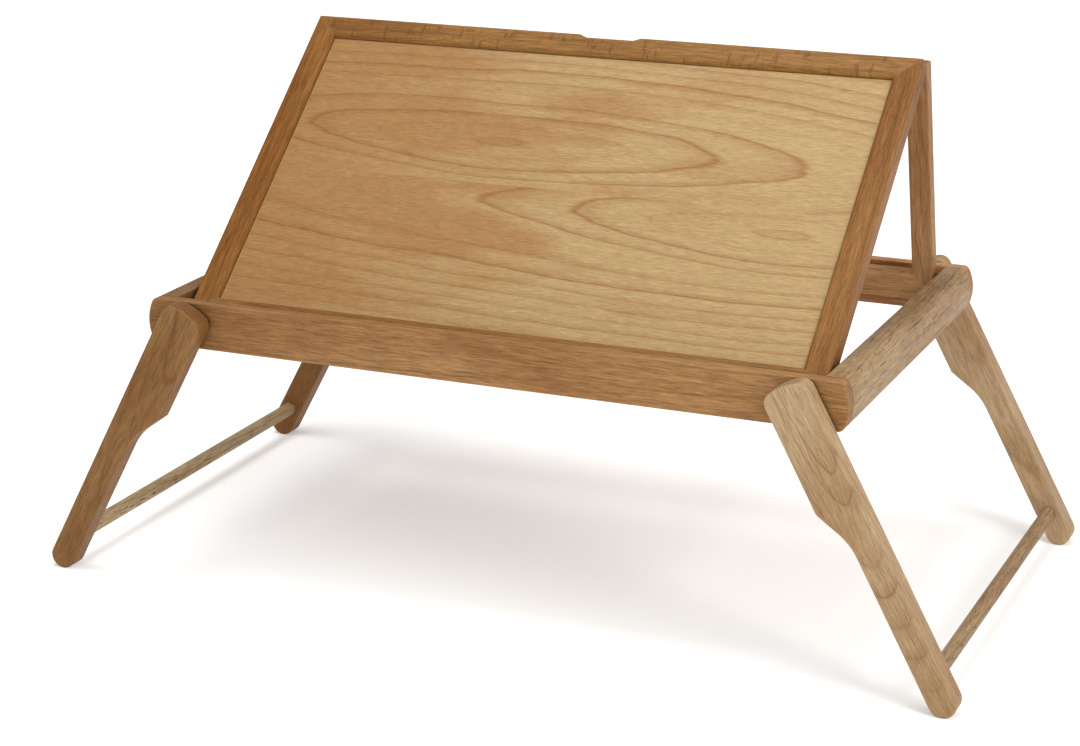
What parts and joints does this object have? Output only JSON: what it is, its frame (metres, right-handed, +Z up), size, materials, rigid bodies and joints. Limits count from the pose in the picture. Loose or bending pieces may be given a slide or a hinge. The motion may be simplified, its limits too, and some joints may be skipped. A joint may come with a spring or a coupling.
{
  "type": "folding tray table",
  "caption": "Wooden bed tray table with a tilting reading panel on a fold-out support and two pairs of fold-in legs.",
  "frame": {"origin": "on the floor under the centre of the tray, with the legs open and the panel raised", "axes": "+X to the right of the person using it, along the long rails; +Y away from that person, across the tray; +Z up"},
  "size_m": [0.7884, 0.403, 0.4361],
  "materials": {
    "frame_wood": "clear satin lacquer on beech",
    "board_wood": "clear satin lacquer on beech veneer",
    "leg_wood": "clear satin lacquer on beech",
    "bolt_steel": "zinc plated",
    "hinge_brass": "plain brass"
  },
  "bodies": {
    "tray": {"front_rail": "frame_wood", "back_rail": "frame_wood", "left_side_rail": "frame_wood", "right_side_rail": "frame_wood", "back_ledge": "frame_wood", "corner_dowels": "frame_wood", "leg_pivot_bolts": "bolt_steel", "leg_washers": "bolt_steel", "leg_stop_pins": "bolt_steel", "panel_pivot_pins": "bolt_steel"},
    "left_legs": {"left_front_leg": "leg_wood", "left_back_leg": "leg_wood", "left_stretcher": "leg_wood"},
    "right_legs": {"right_front_leg": "leg_wood", "right_back_leg": "leg_wood", "right_stretcher": "leg_wood"},
    "panel": {"panel_left_stile": "frame_wood", "panel_right_stile": "frame_wood", "panel_top_rail": "frame_wood", "panel_bottom_rail": "frame_wood", "panel_board": "board_wood", "hinge_leaves_panel": "hinge_brass", "hinge_pins": "hinge_brass", "hinge_screws_panel": "hinge_brass"},
    "support": {"support_left_strut": "frame_wood", "support_right_strut": "frame_wood", "support_top_rail": "frame_wood", "support_foot_rail": "frame_wood", "hinge_leaves_support": "hinge_brass", "hinge_screws_support": "hinge_brass"}
  },
  "joints": [
    {"name": "left_leg_fold", "type": "hinge", "parent": "tray", "child": "left_legs", "pos_m": [-0.261, 0, 0.2235], "axis": [0, 1, 0], "range_deg": [-113, 0]},
    {"name": "right_leg_fold", "type": "hinge", "parent": "tray", "child": "right_legs", "pos_m": [0.261, 0, 0.2235], "axis": [0, 1, 0], "range_deg": [0, 113]},
    {"name": "panel_tilt", "type": "hinge", "parent": "tray", "child": "panel", "pos_m": [0, -0.1484, 0.231], "axis": [1, 0, 0], "range_deg": [-40.5, 0]},
    {"name": "support_fold", "type": "hinge", "parent": "panel", "child": "support", "pos_m": [0, 0.0947, 0.4226], "axis": [1, 0, 0], "range_deg": [-64, 0]}
  ],
  "couplings": [
    {"joint": "support_fold", "follows": "panel_tilt", "ratio": 1.5778}
  ]
}
